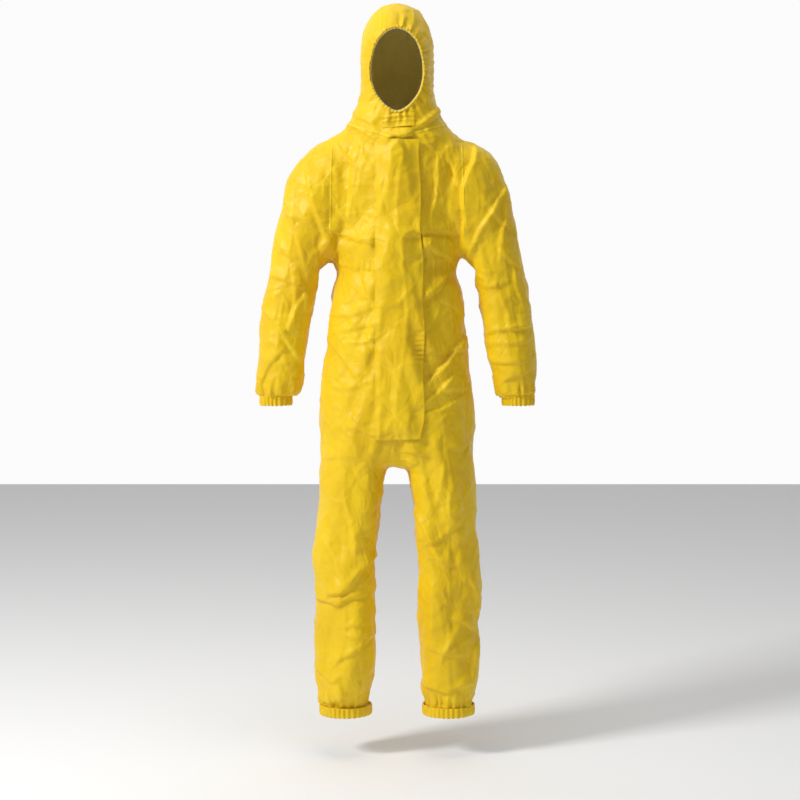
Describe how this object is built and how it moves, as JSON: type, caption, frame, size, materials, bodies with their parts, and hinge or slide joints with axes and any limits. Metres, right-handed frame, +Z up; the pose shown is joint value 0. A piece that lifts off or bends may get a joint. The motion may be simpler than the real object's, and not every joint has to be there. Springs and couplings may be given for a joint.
{
  "type": "hooded chemical protective coverall",
  "caption": "Hooded film-laminate coverall with elastic cuffs and ankles, a zip under a long storm flap and a chin flap, shaped as when worn.",
  "frame": {"origin": "the wearer's neck base, at the middle of the neck seam", "axes": "+Z up along the suit; -Y is the front; +X is the wearer's left"},
  "size_m": [0.6836, 0.2475, 1.701],
  "materials": {
    "laminate": "satin yellow film laminate",
    "elastic": "cream covered elastic",
    "seam_tape": "satin yellow welded tape",
    "zip_tape": "yellow knitted zip tape",
    "zip_coil": "yellow nylon coil",
    "zip_metal": "yellow enamelled zinc",
    "adhesive": "white release-paper faced adhesive",
    "label": "plain white woven label"
  },
  "bodies": {
    "root": {"front_left_panel": "laminate", "front_right_panel": "laminate", "back_panel": "laminate", "crotch_gusset": "laminate", "side_seam_tape_left": "seam_tape", "side_seam_tape_right": "seam_tape", "waist_elastic": "elastic", "neck_label": "label", "zip_tape_left": "zip_tape", "zip_tape_right": "zip_tape", "zip_teeth_left": "zip_coil", "zip_teeth_right": "zip_coil", "zip_bottom_stop": "zip_metal", "neck_fold_front": "laminate", "neck_fold_back": "laminate", "left_shoulder_fold": "laminate", "right_shoulder_fold": "laminate", "left_hip_fold": "laminate", "right_hip_fold": "laminate"},
    "hood": {"hood_centre_panel": "laminate", "hood_left_panel": "laminate", "hood_right_panel": "laminate", "hood_face_casing": "laminate", "hood_face_elastic": "elastic"},
    "chin_flap": {"chin_flap": "laminate", "chin_flap_tape": "adhesive"},
    "storm_flap": {"storm_flap": "laminate", "flap_adhesive_strip": "adhesive"},
    "zip_slider": {"zip_slider": "zip_metal"},
    "zip_pull": {"zip_pull": "zip_metal"},
    "left_upper_sleeve": {"left_upper_sleeve": "laminate", "left_elbow_fold": "laminate"},
    "left_forearm": {"left_forearm_sleeve": "laminate", "left_wrist_hem": "laminate", "left_wrist_elastic": "elastic"},
    "left_thigh": {"left_thigh": "laminate", "left_knee_fold": "laminate"},
    "left_shin": {"left_shin": "laminate", "left_ankle_hem": "laminate", "left_ankle_elastic": "elastic"},
    "right_upper_sleeve": {"right_upper_sleeve": "laminate", "right_elbow_fold": "laminate"},
    "right_forearm": {"right_forearm_sleeve": "laminate", "right_wrist_hem": "laminate", "right_wrist_elastic": "elastic"},
    "right_thigh": {"right_thigh": "laminate", "right_knee_fold": "laminate"},
    "right_shin": {"right_shin": "laminate", "right_ankle_hem": "laminate", "right_ankle_elastic": "elastic"}
  },
  "joints": [
    {"name": "hood_tilt", "type": "hinge", "parent": "root", "child": "hood", "pos_m": [0, 0.02, 0.015], "axis": [1, 0, 0], "range_deg": [-35, 15], "deforming": ["neck_fold_front", "neck_fold_back"]},
    {"name": "chin_flap_open", "type": "hinge", "parent": "hood", "child": "chin_flap", "pos_m": [-0.034, -0.092, 0.036], "axis": [0, 0, -1], "range_deg": [0, 140], "deforming": ["chin_flap", "chin_flap_tape"]},
    {"name": "storm_flap_open", "type": "hinge", "parent": "root", "child": "storm_flap", "pos_m": [-0.052, -0.12, -0.357], "axis": [0, 0, -1], "range_deg": [0, 150], "deforming": ["storm_flap", "flap_adhesive_strip"]},
    {"name": "zip_slide", "type": "slide", "parent": "root", "child": "zip_slider", "axis": [0, 0, -1], "range_m": [0, 0.61]},
    {"name": "zip_pull_swing", "type": "hinge", "parent": "zip_slider", "child": "zip_pull", "pos_m": [0, -0.1241, -0.0341], "axis": [-1, 0, 0], "range_deg": [0, 160]},
    {"name": "left_shoulder_raise", "type": "hinge", "parent": "root", "child": "left_upper_sleeve", "pos_m": [0.168, 0, -0.062], "axis": [0, -1, 0], "range_deg": [0, 60], "deforming": ["left_shoulder_fold"]},
    {"name": "left_elbow_bend", "type": "hinge", "parent": "left_upper_sleeve", "child": "left_forearm", "pos_m": [0.26, -0.024, -0.365], "axis": [-1, 0, 0], "range_deg": [0, 95], "deforming": ["left_elbow_fold"]},
    {"name": "left_hip_bend", "type": "hinge", "parent": "root", "child": "left_thigh", "pos_m": [0.104, -0.02, -0.69], "axis": [-1, 0, 0], "range_deg": [-10, 75], "deforming": ["left_hip_fold"]},
    {"name": "left_knee_bend", "type": "hinge", "parent": "left_thigh", "child": "left_shin", "pos_m": [0.124, 0.034, -1.01], "axis": [1, 0, 0], "range_deg": [0, 95], "deforming": ["left_knee_fold"]},
    {"name": "right_shoulder_raise", "type": "hinge", "parent": "root", "child": "right_upper_sleeve", "pos_m": [-0.168, 0, -0.062], "axis": [0, 1, 0], "range_deg": [0, 60], "deforming": ["right_shoulder_fold"]},
    {"name": "right_elbow_bend", "type": "hinge", "parent": "right_upper_sleeve", "child": "right_forearm", "pos_m": [-0.26, -0.024, -0.365], "axis": [-1, 0, 0], "range_deg": [0, 95], "deforming": ["right_elbow_fold"]},
    {"name": "right_hip_bend", "type": "hinge", "parent": "root", "child": "right_thigh", "pos_m": [-0.104, -0.02, -0.69], "axis": [-1, 0, 0], "range_deg": [-10, 75], "deforming": ["right_hip_fold"]},
    {"name": "right_knee_bend", "type": "hinge", "parent": "right_thigh", "child": "right_shin", "pos_m": [-0.124, 0.034, -1.01], "axis": [1, 0, 0], "range_deg": [0, 95], "deforming": ["right_knee_fold"]}
  ]
}
